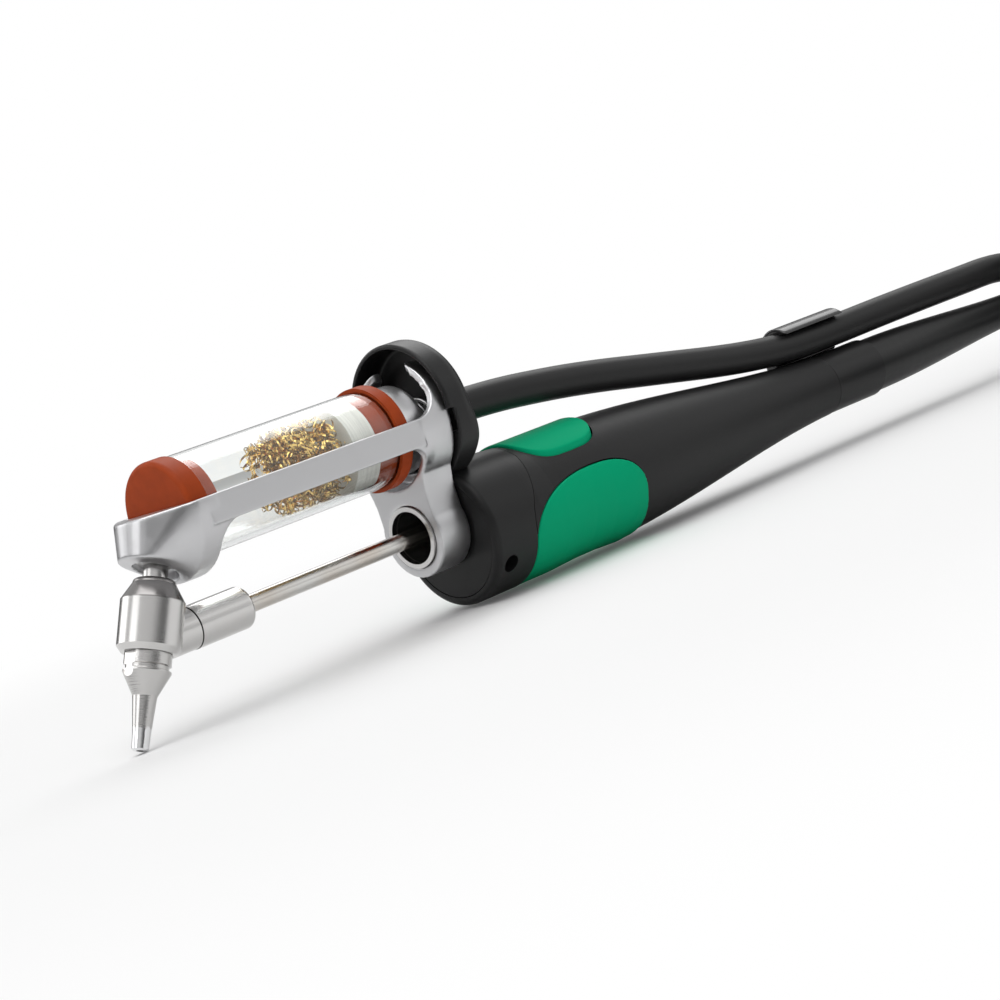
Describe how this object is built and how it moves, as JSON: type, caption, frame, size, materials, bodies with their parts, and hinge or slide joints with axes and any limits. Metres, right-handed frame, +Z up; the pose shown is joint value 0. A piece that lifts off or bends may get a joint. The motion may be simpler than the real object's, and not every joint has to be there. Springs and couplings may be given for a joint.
{
  "type": "desoldering iron",
  "caption": "Desoldering iron: heated hollow nozzle under a glass solder collector held by a spring plunger, on a slim black handle with green grip and button, hose and cable.",
  "frame": {"origin": "centre of the nozzle's mouth, level with the bench that the collar lies on", "axes": "+X from the nozzle back along the handle, +Y to the far side of the tool, +Z up"},
  "size_m": [0.4436, 0.0643, 0.0518],
  "materials": {
    "polished_steel": "bright turned steel",
    "tinned_tip": "bright tinned steel",
    "satin_aluminium": "satin, with soft bright edges",
    "sleeve_steel": "fine turned",
    "seal_rubber": "smooth red-brown silicone",
    "dark_rubber": "soft satin",
    "clear_glass": "clear and polished",
    "wool_brass": "curled fine shavings",
    "filter_fibre": "fine off-white fibre",
    "spring_steel": "drawn wire",
    "satin_black": "satin black",
    "gloss_black": "glossy black",
    "grip_green": "soft green grip material",
    "cable_jacket": "soft black jacket",
    "board": "circuit board",
    "grey_plastic": "inner moulding",
    "gold_contact": "plated contact"
  },
  "bodies": {
    "tool": {"nozzle": "tinned_tip", "head_block": "polished_steel", "heater_sleeve": "sleeve_steel", "heater_shank": "polished_steel", "suction_neck": "polished_steel", "bracket": "satin_aluminium", "port_seal": "polished_steel", "shank_ring": "sleeve_steel", "plunger_spring": "spring_steel", "hood": "satin_black", "hose_spigot": "satin_black", "collar": "satin_black", "collar_face": "satin_black", "set_screw": "spring_steel", "handle_body": "satin_black", "grip_pad": "grip_green", "button_spring": "spring_steel", "button_switch": "grey_plastic", "switch_board": "board", "inner_frame": "grey_plastic", "cartridge_socket": "grey_plastic", "contact_rings": "gold_contact", "cable_clamp": "grey_plastic", "inner_lead": "cable_jacket", "rear_ring": "satin_black", "strain_boot": "dark_rubber", "hose_clip": "gloss_black", "cable": "cable_jacket", "cable_hank": "cable_jacket", "cable_tail": "cable_jacket", "cable_plug": "gloss_black", "plug_pins": "gold_contact", "hose": "dark_rubber", "hose_hank": "dark_rubber", "hose_tail": "dark_rubber", "hose_fitting": "polished_steel", "hank_tie": "grey_plastic"},
    "collector": {"glass_tube": "clear_glass", "front_seal": "seal_rubber", "rear_seal": "seal_rubber", "brass_wool": "wool_brass", "filter_pad": "filter_fibre"},
    "plunger": {"plunger": "polished_steel"},
    "button": {"button": "grip_green"}
  },
  "joints": [
    {"name": "button_press", "type": "slide", "parent": "tool", "child": "button", "axis": [0, 0, -1], "range_m": [0, 0.0008], "stiffness_N_per_m": 2500, "springref_m": -0.0004, "deforming": ["button_spring"]},
    {"name": "collector_slide", "type": "slide", "parent": "tool", "child": "collector", "axis": [1, 0, 0], "range_m": [0, 0.003], "stiffness_N_per_m": 900, "springref_m": -0.006},
    {"name": "plunger_slide", "type": "slide", "parent": "tool", "child": "plunger", "axis": [1, 0, 0], "range_m": [0, 0.003], "stiffness_N_per_m": 900, "springref_m": -0.006, "deforming": ["plunger_spring"]}
  ],
  "couplings": [
    {"joint": "plunger_slide", "follows": "collector_slide", "ratio": 1}
  ]
}
